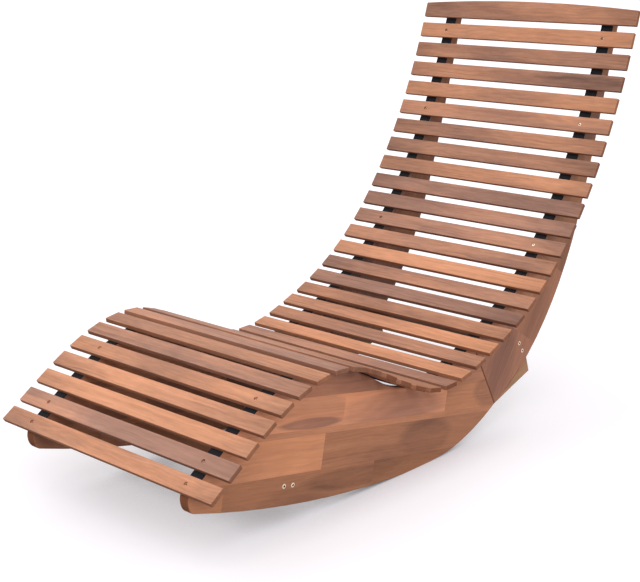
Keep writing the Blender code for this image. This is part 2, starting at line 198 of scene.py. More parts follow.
world = bpy.data.worlds.new("white_studio")
world.use_nodes = True
scene.world = world
tree = world.node_tree
tree.nodes["Background"].inputs["Color"].default_value = WHITE
sky = remap(tree, seen_directly(tree), 0.0, 1.0, SKY_LEVEL, 1.0)
tree.links.new(sky, tree.nodes["Background"].inputs["Strength"])

for name, (came_from, level) in LAMPS.items():
    lamp = bpy.data.objects.new(name, bpy.data.lights.new(name, "SUN"))
    lamp.data.angle = LAMP_SPREAD
    lamp.data.energy = level * math.pi
    lamp.rotation_euler = came_from.to_track_quat("Z", "Y").to_euler()
    scene.collection.objects.link(lamp)
print("sky", SKY_LEVEL, "lamps", {name: level for name, (came_from, level) in LAMPS.items()})

# %% [markdown]
# ## Oiled hardwood
# All the wood is one kind: a reddish hardwood, planed and oiled. Its colour runs in streaks
# along the grain, from pinkish brown to orange, with dark veins, short flecks and fine pores. A
# wave texture alone looks like a cartoon of wood. Here noise is stretched along the grain at
# several sizes, and slow patches a hand long drift from pink to orange. The saw cuts through a
# log's growth rings at a slant, which leaves long ovals on the face, so the level lines of the
# slow patches are drawn as rings. Where a cut passes near the heart of the log, the face shows a
# long soft oval of darker wood. The group reads marks that each piece carries in its mesh: its
# place in the grain and from the heart, its tone, darker on inner and under sides as painted
# shade, its warmth, its end grain with painted shade, a painted highlight on its arrises, and a
# darkening towards the slat ends. Figure sets how strong the rings are, and Streaks the veins
# and flecks.

# %% Node group for oiled hardwood
def add_sockets(group, way, sockets):
    for name, (kind, value) in sockets.items():
        made = group.interface.new_socket(name=name, in_out=way, socket_type="NodeSocket" + kind)
        if value is not None:
            made.default_value = value


STREAK_ROUGHNESS = 0.55


def vector_maths(tree, operation, *values, output=0):
    node = lay_node(tree, "ShaderNodeVectorMath", dict(enumerate(values)), operation=operation)
    return node.outputs[output]


def streaks(tree, place, along, across, detail):
    """Noise that repeats so many times a metre along the grain and across it."""
    stretch = vector_maths(tree, "MULTIPLY", place, (along, across, across))
    sockets = {"Vector": stretch, "Scale": 1.0, "Detail": detail, "Roughness": STREAK_ROUGHNESS}
    return lay_node(tree, "ShaderNodeTexNoise", sockets).outputs["Fac"]


hardwood = bpy.data.node_groups.new("oiled_hardwood", "ShaderNodeTree")
add_sockets(hardwood, "INPUT", {
    "Place": ("Vector", None),
    "Heart": ("Vector", None),
    "Tone": ("Float", 0.0),
    "Warmth": ("Float", 0.5),
    "End Grain And Shade": ("Float", 0.0),
    "Arris Highlight": ("Float", 0.0),
    "Darkening": ("Float", 0.0),
    "Figure": ("Float", 0.3),
    "Streaks": ("Float", 1.0),
    "Cool Pale": ("Color", None),
    "Cool Deep": ("Color", None),
    "Warm Pale": ("Color", None),
    "Warm Deep": ("Color", None),
    "Soaked And Shaded": ("Color", (0.21, 0.066, 0.027, 1.0)),
})
add_sockets(hardwood, "OUTPUT", {
    "Colour": ("Color", None),
    "Roughness": ("Float", None),
    "Height": ("Float", None),
})
given = hardwood.nodes.new("NodeGroupInput").outputs
print("hardwood inputs", [socket.name for socket in given if socket.name])

# %% Streaks of the hardwood
PATCH_SIZE, SWAY_SIZE = (4.0, 10.0, 0.5), (7.0, 14.0, 1.0)
BROAD_SIZE, MIDDLE_SIZE, FINE_SIZE = (1.8, 55.0, 2.0), (4.0, 210.0, 3.0), (14.0, 800.0, 2.0)
VEIN_SIZE, PORE_SIZE, FLECK_SIZE = (2.4, 150.0, 2.0), (55.0, 1800.0, 1.0), (26.0, 190.0, 3.0)
VEIN_SPAN, PORE_SPAN, FLECK_SPAN = (0.58, 0.70), (0.60, 0.72), (0.3, 0.7)
SWAY_REACH = 0.008

patches = streaks(hardwood, given["Place"], *PATCH_SIZE)
sway = remap(hardwood, streaks(hardwood, given["Place"], *SWAY_SIZE), 0.0, 1.0,
             -SWAY_REACH, SWAY_REACH)
sway = lay_node(hardwood, "ShaderNodeCombineXYZ", {"Y": sway}).outputs[0]
place = vector_maths(hardwood, "ADD", given["Place"], sway)
broad, middle, fine = (streaks(hardwood, place, *size)
                       for size in (BROAD_SIZE, MIDDLE_SIZE, FINE_SIZE))
veins = remap(hardwood, streaks(hardwood, place, *VEIN_SIZE), *VEIN_SPAN)
veins = maths(hardwood, "MULTIPLY", veins, given["Streaks"])
pores = remap(hardwood, streaks(hardwood, place, *PORE_SIZE), *PORE_SPAN)
flecks = remap(hardwood, streaks(hardwood, place, *FLECK_SIZE), *FLECK_SPAN, -1.0, 1.0)
flecks = maths(hardwood, "MULTIPLY", flecks, given["Streaks"])
print("hardwood streaks", len(hardwood.nodes), "nodes")

# %% Growth rings and hearts of the hardwood
RING_COUNT = 7
GRAIN_SPAN = (0.32, 0.68)
DRIFT_SPAN, DRIFT_REACH = (0.25, 0.75), 0.30
HEART_WAVER = 0.5
HEART_SPAN = (1.36, 1.08)


def add_shares(tree, start, shares):
    """A running sum of values, each times its own share."""
    for value, share in shares:
        start = maths(tree, "MULTIPLY_ADD", value, share, start)
    return start


rings = maths(hardwood, "SINE", maths(hardwood, "MULTIPLY", patches, 2 * math.pi * RING_COUNT))
rings = maths(hardwood, "MULTIPLY", rings, given["Figure"])
grain = add_shares(hardwood, 0.0, ((broad, 0.46), (rings, 0.06), (middle, 0.36), (fine, 0.18)))
grain = remap(hardwood, grain, *GRAIN_SPAN)
drift = remap(hardwood, patches, *DRIFT_SPAN, -DRIFT_REACH, DRIFT_REACH)
from_heart = vector_maths(hardwood, "MULTIPLY", given["Heart"], (1, 1, 0))
from_heart = vector_maths(hardwood, "LENGTH", from_heart, output="Value")
from_heart = maths(hardwood, "MULTIPLY_ADD", broad, HEART_WAVER, from_heart)
strength = lay_node(hardwood, "ShaderNodeSeparateXYZ", {0: given["Heart"]}).outputs["Z"]
heart = maths(hardwood, "MULTIPLY", remap(hardwood, from_heart, *HEART_SPAN), strength)
print("hardwood rings and hearts", len(hardwood.nodes), "nodes")

# %% Colour, gloss and pores of the hardwood
END_GRAIN_AND_SHADE_SHARE = 0.50
PLAIN_ROUGHNESS = 0.44

warmth = maths(hardwood, "ADD", given["Warmth"], drift)
warmth = add_shares(hardwood, warmth, ((heart, -0.30), (flecks, 0.10)))
pale = mix_colours(hardwood, warmth, given["Cool Pale"], given["Warm Pale"])
deep = mix_colours(hardwood, warmth, given["Cool Deep"], given["Warm Deep"])
colour = mix_colours(hardwood, grain, pale, deep)
# Arrises are lightened, a painted highlight, and the slat ends are darkened towards their tips.
level = add_shares(hardwood, 1.0, (
    (given["Tone"], 0.22), (drift, given["Figure"]), (pores, -0.12), (flecks, 0.09),
    (given["Darkening"], -0.16), (veins, -0.20), (heart, -0.24), (given["Arris Highlight"], 0.10)))
shaded = lay_node(hardwood, "ShaderNodeVectorMath", {0: colour, "Scale": level},
                  operation="SCALE").outputs[0]
roughness = add_shares(hardwood, PLAIN_ROUGHNESS, ((fine, 0.16), (given["End Grain And Shade"], 0.22)))
height = maths(hardwood, "SUBTRACT", fine, pores)
ends = maths(hardwood, "MULTIPLY", given["End Grain And Shade"], END_GRAIN_AND_SHADE_SHARE)
# End grain, and the painted shade carried with it, mixes towards the dark colour.
oiled = mix_colours(hardwood, ends, shaded, given["Soaked And Shaded"])

group_end = hardwood.nodes.new("NodeGroupOutput").inputs
for socket, value in (("Colour", oiled), ("Roughness", roughness), ("Height", height)):
    hardwood.links.new(value, group_end[socket])
print("hardwood group", len(hardwood.nodes), "nodes")

# %% [markdown]
# ## Four finishes of the same wood
# The slats are the palest and most even. The boards of the frames are glued up from blocks of
# mixed colour, the cross rails are a shade darker, and the plates at the joints are a
# yellower wood. One group serves them all, with its own colours in each material.

# %% Wood materials
OIL_GLOSS = 0.22
PORE_STRENGTH, PORE_DEPTH = 0.25, 0.0002


def wood_material(name, cool_pale, cool_deep, warm_pale, warm_deep, figure, streaky=1.0):
    material, tree, shader = new_material(name)
    group = lay_node(tree, "ShaderNodeGroup", node_tree=hardwood)
    colours = {"Cool Pale": cool_pale, "Cool Deep": cool_deep,
               "Warm Pale": warm_pale, "Warm Deep": warm_deep}
    for socket, colour in colours.items():
        group.inputs[socket].default_value = (*colour, 1.0)
    group.inputs["Figure"].default_value = figure
    group.inputs["Streaks"].default_value = streaky
    for socket, mark in (("Place", "grain_place"), ("Heart", "heart_place")):
        tree.links.new(read_mark(tree, mark, "Vector"), group.inputs[socket])
    for socket, mark in (("Tone", "tone"), ("Warmth", "warmth"), ("End Grain And Shade", "end_grain_and_shade"),
                         ("Arris Highlight", "arris_highlight"), ("Darkening", "darkening")):
        tree.links.new(read_mark(tree, mark), group.inputs[socket])
    bump = lay_node(tree, "ShaderNodeBump", {"Strength": PORE_STRENGTH, "Distance": PORE_DEPTH,
                                             "Height": group.outputs["Height"]})
    tree.links.new(group.outputs["Colour"], shader.inputs["Base Color"])
    tree.links.new(group.outputs["Roughness"], shader.inputs["Roughness"])
    tree.links.new(bump.outputs["Normal"], shader.inputs["Normal"])
    shader.inputs["Specular IOR Level"].default_value = OIL_GLOSS
    return material


slat_wood = wood_material("slat_wood", (0.50, 0.268, 0.196), (0.355, 0.174, 0.120),
                          (0.78, 0.364, 0.208), (0.565, 0.246, 0.130), 0.4)
board_wood = wood_material("board_wood", (0.50, 0.231, 0.155), (0.37, 0.160, 0.105),
                           (0.72, 0.315, 0.164), (0.55, 0.229, 0.119), 0.6, 0.5)
rail_wood = wood_material("cross_rail_wood", (0.40, 0.195, 0.125), (0.28, 0.125, 0.078),
                          (0.50, 0.230, 0.120), (0.35, 0.145, 0.072), 0.5)
plate_wood = wood_material("plate_wood", (0.60, 0.325, 0.195), (0.455, 0.234, 0.127),
                           (0.68, 0.377, 0.195), (0.53, 0.267, 0.127), 0.4)
print("wood materials", [m.name for m in (slat_wood, board_wood, rail_wood, plate_wood)])

# %% [markdown]
# ## Marks that a piece of wood carries
# The wood group needs to know which way the grain runs in each piece. Texture coordinates of
# the object would do for a slat, but a glued board has a new piece of grain in every block.
# So each mesh carries its own marks: a place in the grain and from the heart at every corner of
# every face, and a tone, a warmth and an end grain value on every face. A heart is an oval,
# with its middle and half sizes along and across the grain, and a strength that is below zero
# for a pale oval of sapwood. End grain is darker, because it drinks more oil than the faces do.
# The inner and under sides are toned darker, which is painted shade. The end grain value also
# carries painted shade on the long edges of the slats, and a painted shadow line on faces that
# lie close beside a joint or an edge line.

# %% Helpers that tell faces apart
X_WAY, Z_WAY = Vector((1, 0, 0)), Vector((0, 0, 1))
SQUARE_ON, LEANING = 0.9, 0.5
BROAD_FACE = 0.003
CUT_FROM, CUT_FULL = 0.35, 0.75
LINE_REACH = 0.0034


def is_broad(face):
    return face.calc_area() / max(edge.calc_length() for edge in face.edges) > BROAD_FACE


def is_beside(point, lines):
    return any(abs((point - spot).dot(normal)) < LINE_REACH for spot, normal in lines)


def end_grain_and_shade(face, along, across, edge_shade, end_depth, lines):
    """How much of the end grain a face shows, none along the grain and most across it, with
    painted shade on the long edges and beside the lines.
    """
    cut = (abs(face.normal.dot(along)) - CUT_FROM) / (CUT_FULL - CUT_FROM)
    shown = end_depth * min(max(cut, 0.0), 1.0)
    # Long edges across the grain are darkened as painted shade.
    if abs(face.normal.dot(across)) > SQUARE_ON:
        shown = max(shown, edge_shade)
    # Faces beside a joint or an edge line are darkest: a painted shadow line.
    if abs(face.normal.x) > LEANING and is_beside(face.calc_center_median(), lines):
        shown = max(shown, 1.0)
    return shown


def no_darkening(point):
    return 0.0


print("end grain from", CUT_FROM, "to", CUT_FULL, "of square on")

# %% Helper that writes the marks
DEEPEST_SHADE_TONE = -2.0


def mark_wood(mesh, block_of, blocks, painted_shade_side, edge_shade=0.0, end_depth=1.0, darkening_of=no_darkening,
              lines=()):
    """A block has a grain direction, a shift in the grain, a tone, a warmth and a heart."""
    shade_normal, shade_tone = painted_shade_side
    bm = bmesh.new()
    bm.from_mesh(mesh)
    places, hearts, tones, warmths, ends = [], [], [], [], []
    for face in bm.faces:
        along, shift, tone, warmth, heart = blocks[block_of(face.calc_center_median())]
        through = X_WAY if abs(along.x) < LEANING else Z_WAY
        across = through.cross(along)
        heart_along, heart_across, half_length, half_width, strength = heart
        for loop in face.loops:
            spot = Vector([loop.vert.co.dot(way) for way in (along, across, through)])
            places.extend(spot + shift)
            hearts.extend(((spot.x - heart_along) / half_length,
                           (spot.y - heart_across) / half_width, strength))
        # Faces towards the given side are toned darker: painted shade.
        if face.normal.dot(shade_normal) > SQUARE_ON:
            tone = max(tone + shade_tone, DEEPEST_SHADE_TONE)
        tones.append(tone)
        warmths.append(warmth)
        ends.append(end_grain_and_shade(face, along, across, edge_shade, end_depth, lines))
    # Arris corners are marked to be lightened: a painted highlight.
    arris_highlight = [0.0 if any(is_broad(face) for face in vert.link_faces) else 1.0
             for vert in bm.verts]
    darkenings = [darkening_of(vert.co) for vert in bm.verts]
    bm.free()
    marks = (("grain_place", "FLOAT_VECTOR", "CORNER", "vector", places),
             ("heart_place", "FLOAT_VECTOR", "CORNER", "vector", hearts),
             ("tone", "FLOAT", "FACE", "value", tones),
             ("warmth", "FLOAT", "FACE", "value", warmths),
             ("end_grain_and_shade", "FLOAT", "FACE", "value", ends),
             ("arris_highlight", "FLOAT", "POINT", "value", arris_highlight),
             ("darkening", "FLOAT", "POINT", "value", darkenings))
    for name, kind, domain, field, values in marks:
        mesh.attributes.new(name, kind, domain).data.foreach_set(field, values)


print("marks: grain_place, heart_place, tone, warmth, end_grain_and_shade, arris, soak")

# %% Helper that puts a piece of wood in its place
SMOOTH_ANGLE = math.radians(40)


def add_wood(name, mesh, material, nodes, place=None):
    """Puts a finished wooden piece in the place of its solid."""
    mesh.materials.clear()
    mesh.materials.append(material)
    mesh.shade_smooth()
    mesh.set_sharp_from_angle(angle=SMOOTH_ANGLE)
    piece = bpy.data.objects.new(name, mesh)
    scene.collection.objects.link(piece)
    if place:
        piece.matrix_world = place
    weighted = piece.modifiers.new("even_shading", "WEIGHTED_NORMAL")
    weighted.keep_sharp = True
    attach(piece, "root")
    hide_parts(*nodes)
    return piece


print("shading is smooth up to", round(math.degrees(SMOOTH_ANGLE)), "degrees")

# %% [markdown]
# ## Where each slat lies
# Every slat is a flat stick turned about X. Its place could be copied from the drawing of the
# seat line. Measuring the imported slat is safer, because the finished slat then follows the
# solid: the largest face that looks up gives the slope, and the turned corners give the rest.

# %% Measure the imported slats
SLAT_COUNT = 35
PLAIN_SLAT = 2


def measure_slat(number):
    """Slope of a slat, and its lowest and highest corners once it is turned level."""
    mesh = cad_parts[f"slat_{number:02d}"].data
    top = max((face for face in mesh.polygons if face.normal.z > 0), key=lambda face: face.area)
    slope = math.atan2(-top.normal.y, top.normal.z)
    level = Matrix.Rotation(-slope, 4, "X")
    corners = np.array([level @ vertex.co for vertex in mesh.vertices])
    return slope, Vector(corners.min(0)), Vector(corners.max(0))


slats = {number: measure_slat(number) for number in range(1, SLAT_COUNT + 1)}
_, low, high = slats[PLAIN_SLAT]
SLAT_LENGTH, SLAT_WIDTH, SLAT_THICKNESS = high - low
_, low, high = slats[SLAT_COUNT]
HEAD_ARCH_RISE = high.y - low.y - SLAT_WIDTH


def slat_place(number):
    """Turns and moves a level slat, whose middle is at the origin, to where it lies."""
    slope, low, high = slats[number]
    middle = (0.0, low.y + SLAT_WIDTH / 2, (low.z + high.z) / 2)
    return Matrix.Rotation(slope, 4, "X") @ Matrix.Translation(middle)


print("slat", [round(v, 4) for v in (SLAT_LENGTH, SLAT_WIDTH, SLAT_THICKNESS)],
      "head arch", round(HEAD_ARCH_RISE, 4))

# %% [markdown]
# ## Slats
# A slat is planed on four sides, with its arrises sanded round and a countersunk hole over
# each frame where a screw holds it. A bevelled box gives the rounding. The last slat at the
# head has a bowed top edge, so it starts as an outline. The holes are cut by a Boolean,
# because a real countersink is a cone, and bump alone would not show it from the side.

# %% Slat shapes
SLAT_ROUNDING = 0.0015
SLAT_ROUNDING_STEPS = 3
ROUND_PROFILE = 0.5
ARCH_STEPS = 24
END_DARKENING_START = 0.18
MERGE_REACH = 1e-5


def mesh_from(name, bm):
    bmesh.ops.recalc_face_normals(bm, faces=bm.faces)
    mesh = bpy.data.meshes.new(name)
    bm.to_mesh(mesh)
    bm.free()
    return mesh


def slat_outline(rise):
    half = SLAT_LENGTH / 2
    corners = [(-half, -SLAT_WIDTH / 2), (half, -SLAT_WIDTH / 2)]
    for x in np.linspace(half, -half, ARCH_STEPS + 1 if rise else 2):
        corners.append((x, SLAT_WIDTH / 2 + rise * (1 - (x / half) ** 2)))
    return corners


def slat_mesh(name, rise):
    bm = bmesh.new()
    floor = bm.faces.new([bm.verts.new((x, y, -SLAT_THICKNESS / 2))
                          for x, y in slat_outline(rise)])
    raised = bmesh.ops.extrude_face_region(bm, geom=[floor])["geom"]
    top = [item for item in raised if isinstance(item, bmesh.types.BMVert)]
    bmesh.ops.translate(bm, vec=(0, 0, SLAT_THICKNESS), verts=top)
    sharp = [edge for edge in bm.edges if edge.calc_face_angle() > SMOOTH_ANGLE]
    bmesh.ops.bevel(bm, geom=sharp, offset=SLAT_ROUNDING, segments=SLAT_ROUNDING_STEPS,
                    profile=ROUND_PROFILE, affect="EDGES", clamp_overlap=True)
    for x in (-END_DARKENING_START, END_DARKENING_START):
        bmesh.ops.bisect_plane(bm, geom=[*bm.verts, *bm.edges, *bm.faces], plane_co=(x, 0, 0),
                               plane_no=X_WAY, dist=MERGE_REACH)
    return mesh_from(name, bm)


def end_darkening(point):
    """How much darker a slat is made towards its ends, from 0 to 1."""
    return max(0.0, (abs(point.x) - END_DARKENING_START) / (SLAT_LENGTH / 2 - END_DARKENING_START))


print("corners of a slat", len(slat_outline(0.0)), "and of the head slat",
      len(slat_outline(HEAD_ARCH_RISE)))

# %% Countersunk holes
SCREWED_SLATS = (1, 2, 5, 11, 24, 30, 34)
FLUSH_SCREWS = ((24, "left"), (30, "left"))
FLUSH_SINK, DEEP_SINK = 0.0003, 0.0024
FRAME_OFFSET = 0.222
HOLE_RADIUS, HOLE_TIP_RADIUS = 0.0040, 0.0004
HOLE_DEPTH, HOLE_RIM_DEPTH = 0.0042, 0.0006
HOLE_SIDES = 32
CUTTER_RISE = 0.002
ROUND = 0
SIDES = (("left", 1), ("right", -1))


def turned(bm, profile, sides, place=Matrix()):
    """A closed solid of rings, each with a radius, a height and a number of corners."""
    rings = []
    for radius, height, corners in profile:
        ring = []
        for step in range(sides):
            angle = 2 * math.pi * step / sides
            reach = radius
            if corners:
                sector = 2 * math.pi / corners
                reach *= math.cos(sector / 2) / math.cos(angle % sector - sector / 2)
            spot = Vector((reach * math.cos(angle), reach * math.sin(angle), height))
            ring.append(bm.verts.new(place @ spot))
        rings.append(ring)
    for lower, upper in zip(rings[:-1], rings[1:]):
        for step in range(sides):
            after = (step + 1) % sides
            bm.faces.new((lower[step], lower[after], upper[after], upper[step]))
    bm.faces.new(rings[0])
    bm.faces.new(rings[-1])


def carve(mesh, cutter_mesh):
    """The mesh with the cutter's shape taken out of it."""
    body = bpy.data.objects.new("carved", mesh)
    cutter = bpy.data.objects.new("cutter", cutter_mesh)
    for item in (body, cutter):
        scene.collection.objects.link(item)
    boolean = body.modifiers.new("cut", "BOOLEAN")
    boolean.object = cutter
    boolean.solver = "EXACT"
    bpy.context.view_layer.update()
    result = body.evaluated_get(bpy.context.evaluated_depsgraph_get())
    carved = bpy.data.meshes.new_from_object(result)
    for item in (body, cutter):
        bpy.data.objects.remove(item)
    return carved


def screw_sink(number, side_name):
    """How far a screw's head lies below the slat's face."""
    return FLUSH_SINK if (number, side_name) in FLUSH_SCREWS else DEEP_SINK


def countersinks(number):
    bm = bmesh.new()
    for side_name, side in SIDES:
        sink = screw_sink(number, side_name)
        top = Matrix.Translation((side * FRAME_OFFSET, 0, SLAT_THICKNESS / 2))
        profile = ((HOLE_TIP_RADIUS, -HOLE_DEPTH - sink, ROUND),
                   (HOLE_RADIUS, -HOLE_RIM_DEPTH - sink, ROUND),
                   (HOLE_RADIUS, CUTTER_RISE, ROUND))
        turned(bm, profile, HOLE_SIDES, top)
    return mesh_from("countersinks", bm)


print("screwed slats", SCREWED_SLATS)

# %% [markdown]
# Slats come out of the pack in mixed colours: most are pinkish brown, some nearly grey, and
# a few a clear orange. The tones are drawn from a seeded generator, and the slats that stand
# out most have their own. In the hollow the end grain is made darkest.
# Most screws are driven below the face and leave a small dark hole.

# %% Looks of the slats
dice = np.random.default_rng(35)
GRAIN_SPREAD = 50
TONE_SPREAD = 0.22
WARMTH_MIDDLE, WARMTH_SPREAD, WARMTH_LIMITS = 0.5, 0.14, (0.1, 0.9)
GREY_SLATS, GREY_LOOK = (2, 20, 25, 26), (-0.2, 0.0)
ORANGE_SLATS, ORANGE_LOOK = (3, 16, 18, 22, 31, 34), (0.3, 0.95)
PALE_SLATS, PALE_TONE = (1, 2, 3, 4, 6, 8, 15, 16, 30, 34), 0.6
DARK_SLATS, DARK_TONE = (28, 29, 33), -0.6
SLAT_HEARTS = ((-0.25, 0.25), (-0.015, 0.015), (0.10, 0.25), (0.006, 0.020), (-0.5, 0.6))


def draw(low, high):
    return float(dice.uniform(low, high))


def draw_shift():
    return Vector(dice.uniform(-GRAIN_SPREAD, GRAIN_SPREAD, 3))


def slat_block(number):
    """Grain, shift, tone, warmth and heart of one slat."""
    shift = draw_shift()
    tone = float(dice.normal(0.0, TONE_SPREAD))
    warmth = float(np.clip(dice.normal(WARMTH_MIDDLE, WARMTH_SPREAD), *WARMTH_LIMITS))
    if number in GREY_SLATS:
        tone, warmth = GREY_LOOK
    if number in ORANGE_SLATS:
        tone, warmth = ORANGE_LOOK
    if number in PALE_SLATS:
        tone = PALE_TONE
    if number in DARK_SLATS:
        tone = DARK_TONE
    heart = [draw(low, high) for low, high in SLAT_HEARTS]
    return X_WAY, shift, tone, warmth, heart


print("grey", GREY_SLATS, "orange", ORANGE_SLATS)

# %% Slats in their places
# The long edges of the slats are darkened as painted shade.
EDGE_SHADE = 0.85
# Slat undersides are toned darker: painted shade.
UNDER_SHADE_TONE = -0.9
HOLLOW_SLATS = (11, 12, 13, 14, 15)
END_DEPTH, HOLLOW_END_DEPTH = 1.0, 1.6

for number in range(1, SLAT_COUNT + 1):
    name = f"planed_slat_{number:02d}"
    mesh = slat_mesh(name, HEAD_ARCH_RISE if number == SLAT_COUNT else 0.0)
    if number in SCREWED_SLATS:
        mesh = carve(mesh, countersinks(number))
        mesh.name = name
    end_depth = HOLLOW_END_DEPTH if number in HOLLOW_SLATS else END_DEPTH
    mark_wood(mesh, lambda point: 0, [slat_block(number)], (-Z_WAY, UNDER_SHADE_TONE), EDGE_SHADE,
              end_depth, end_darkening)
    add_wood(name, mesh, slat_wood, [f"slat_{number:02d}"], slat_place(number))
print("slats", SLAT_COUNT)

# %% [markdown]
# ## Boards of the frames
# Each side of the frame is a rocker base and a back rail, sawn from a board that is glued up
# from shorter blocks. The blocks are what gives the side its patchwork of browns. Separate
# blocks could be modelled, but the real board is planed flat after gluing, so here the packed
# board keeps its outline, its arrises are rounded, and straight cuts split its faces into
# rows and blocks, each with its own grain.

# %% Rounded copy of a packed board
ARRIS_ROUNDING = 0.00055
ARRIS_ROUNDING_STEPS = 2
CHAMFER_ANGLES = (math.radians(25), math.radians(60))
FLAT_ANGLE = math.radians(0.2)


def rounded_copy(node):
    bm = bmesh.new()
    bm.from_mesh(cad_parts[node].data)
    bmesh.ops.remove_doubles(bm, verts=bm.verts, dist=MERGE_REACH)
    bmesh.ops.dissolve_limit(bm, angle_limit=FLAT_ANGLE, verts=bm.verts, edges=bm.edges)
    low, high = CHAMFER_ANGLES
    chamfers = [edge for edge in bm.edges if edge.is_manifold and edge.is_convex
                and low < edge.calc_face_angle() < high]
    bmesh.ops.bevel(bm, geom=chamfers, offset=ARRIS_ROUNDING, segments=ARRIS_ROUNDING_STEPS,
                    profile=ROUND_PROFILE, affect="EDGES", clamp_overlap=True)
    return bm


def split(bm, spot, normal, faces):
    """Cuts the faces by a plane."""
    edges = {edge for face in faces for edge in face.edges}
    verts = {vert for face in faces for vert in face.verts}
    bmesh.ops.bisect_plane(bm, geom=[*verts, *edges, *faces], plane_co=spot, plane_no=normal,
                           dist=MERGE_REACH)


print("boards:", [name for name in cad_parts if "base" in name or "back" in name])

# %% [markdown]
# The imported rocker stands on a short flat, so that it rests in one place. The real one is
# planed to an easy curve there. Only the flat's rear corner shows, so its edge is cut into short
# steps, and each step is lifted a little, at most two and a half millimetres.

# %% Eased corner of the rocker's flat
EASE_REACH = 0.060
EASE_STEPS = 8
EASE_ANGLE = math.radians(9)
EDGE_BAND = 0.0025
ON_FLOOR = 1e-4
LOOKS_DOWN = -0.3
ROW_DIGITS = 4


def ease_flat(bm):
    """Lifts the rear corner of the flat on a parabola that runs into the curve behind it."""
    bm.normal_update()
    corner = max(vert.co.y for vert in bm.verts if vert.co.z < ON_FLOOR)
    for step in range(-EASE_STEPS, EASE_STEPS + 1):
        low_faces = [face for face in bm.faces if face.normal.z < LOOKS_DOWN
                     and abs(face.calc_center_median().y - corner) < 2 * EASE_REACH]
        spot = Vector((0, corner + EASE_REACH * step / EASE_STEPS, 0))
        split(bm, spot, Vector((0, 1, 0)), low_faces)
    near = [vert for vert in bm.verts if abs(vert.co.y - corner) < EASE_REACH]
    lowest = {}
    for vert in near:
        row = round(vert.co.y, ROW_DIGITS)
        lowest[row] = min(lowest.get(row, vert.co.z), vert.co.z)
    for vert in near:
        if vert.co.z - lowest[round(vert.co.y, ROW_DIGITS)] < EDGE_BAND:
            inside = EASE_REACH - abs(vert.co.y - corner)
            vert.co.z += EASE_ANGLE / (4 * EASE_REACH) * inside ** 2


print("eased corner lifts", round(EASE_ANGLE * EASE_REACH / 4, 4), "m")

# %% Glued-up boards
class GluedBoard:
    """Rows along a direction in the side view, each sawn into blocks at its joints."""

    def __init__(self, slope, row_edges, joints, looks):
        self.along = Vector((0, math.cos(slope), math.sin(slope)))
        self.up = Vector((0, -math.sin(slope), math.cos(slope)))
        self.row_edges = row_edges
        self.joints = joints
        self.blocks = [(self.along, draw_shift(), *look) for row in looks for look in row]
        self.firsts = np.cumsum([0] + [len(row) for row in looks])

    def row(self, point):
        return int(np.searchsorted(self.row_edges, point.dot(self.up)))

    def block(self, point):
        row = self.row(point)
        return int(self.firsts[row] + np.searchsorted(self.joints[row], point.dot(self.along)))

    def cut(self, bm):
        """Splits the faces along the rows and at the joints."""
        for height in self.row_edges:
            split(bm, self.up * height, self.up, bm.faces)
        for row, stations in enumerate(self.joints):
            for station in stations:
                in_row = [face for face in bm.faces if self.row(face.calc_center_median()) == row]
                split(bm, self.along * station, self.along, in_row)


print("glued boards split at every joint")

# %% [markdown]
# The blocks of the near base, and the lowest of the near rail, are laid as the photograph shows
# them. The others can hardly be seen, so their looks are drawn by lot. Two dark lines on the
# near side are painted shadow lines: one in the joint between base and rail, and one along the
# rail's lower edge where it meets the plate behind. A narrow strip is split off beside that edge
# to carry it.

# %% Helper that puts a board in its place
# Inner faces of the boards, and undersides of the cross rails, are toned darker: painted shade.
INNER_SHADE_TONE, BASE_INNER_SHADE_TONE = -1.6, -0.3
# Board end grain is made stronger; on the rocker noses this is partly painted shade.
BOARD_END_DEPTH = 1.5
LINE_WIDTH = 0.0040


def add_board(node, name, board, material, inward, joint=None, shadow_line_edge=None):
    """A joint or a shadowed edge is a spot and a direction, as end_plane and lower_edge give;
    faces beside it get a painted shadow line.
    """
    bm = rounded_copy(node)
    if shadow_line_edge:
        spot, normal = shadow_line_edge
        outer = [face for face in bm.faces if face.normal.dot(inward) < -SQUARE_ON]
        split(bm, spot - normal * LINE_WIDTH, normal, outer)
    inner_shade_tone = INNER_SHADE_TONE
    if node.startswith("base_panel"):
        ease_flat(bm)
        inner_shade_tone = BASE_INNER_SHADE_TONE
    board.cut(bm)
    mesh = mesh_from(name, bm)
    mark_wood(mesh, board.block, board.blocks, (inward, inner_shade_tone), end_depth=BOARD_END_DEPTH,
              lines=[line for line in (joint, shadow_line_edge) if line])
    return add_wood(name, mesh, material, [node])


# These lines are painted shadow lines.
print("oil lines", LINE_WIDTH, "m wide")

# %% Looks drawn by lot, and planes to mark
ROW_MARGIN, END_MARGIN = 0.05, 0.2
HEART_LENGTHS, HEART_WIDTHS, HEART_STRENGTHS = (0.3, 0.7), (0.3, 0.6), (-0.4, 1.0)
BLOCK_TONE, BLOCK_TONE_SPREAD = -0.2, 0.4
BLOCK_WARMTHS = (0.2, 0.8)
SMALL_FACE = 1e-4


def any_looks(row_edges, joints):
    """Tones, warmths and hearts drawn by lot, one for each block."""
    heights = [row_edges[0] - ROW_MARGIN, *row_edges, row_edges[-1] + ROW_MARGIN]
    looks = []
    for low, high, stations in zip(heights[:-1], heights[1:], joints):
        ends = [stations[0] - END_MARGIN, *stations, stations[-1] + END_MARGIN]
        looks.append([])
        for first, last in zip(ends[:-1], ends[1:]):
            heart = (draw(first, last), draw(low, high), draw(*HEART_LENGTHS) * (last - first),
                     draw(*HEART_WIDTHS) * (high - low), draw(*HEART_STRENGTHS))
            tone = float(dice.normal(BLOCK_TONE, BLOCK_TONE_SPREAD))
            looks[-1].append((tone, draw(*BLOCK_WARMTHS), heart))
    return looks


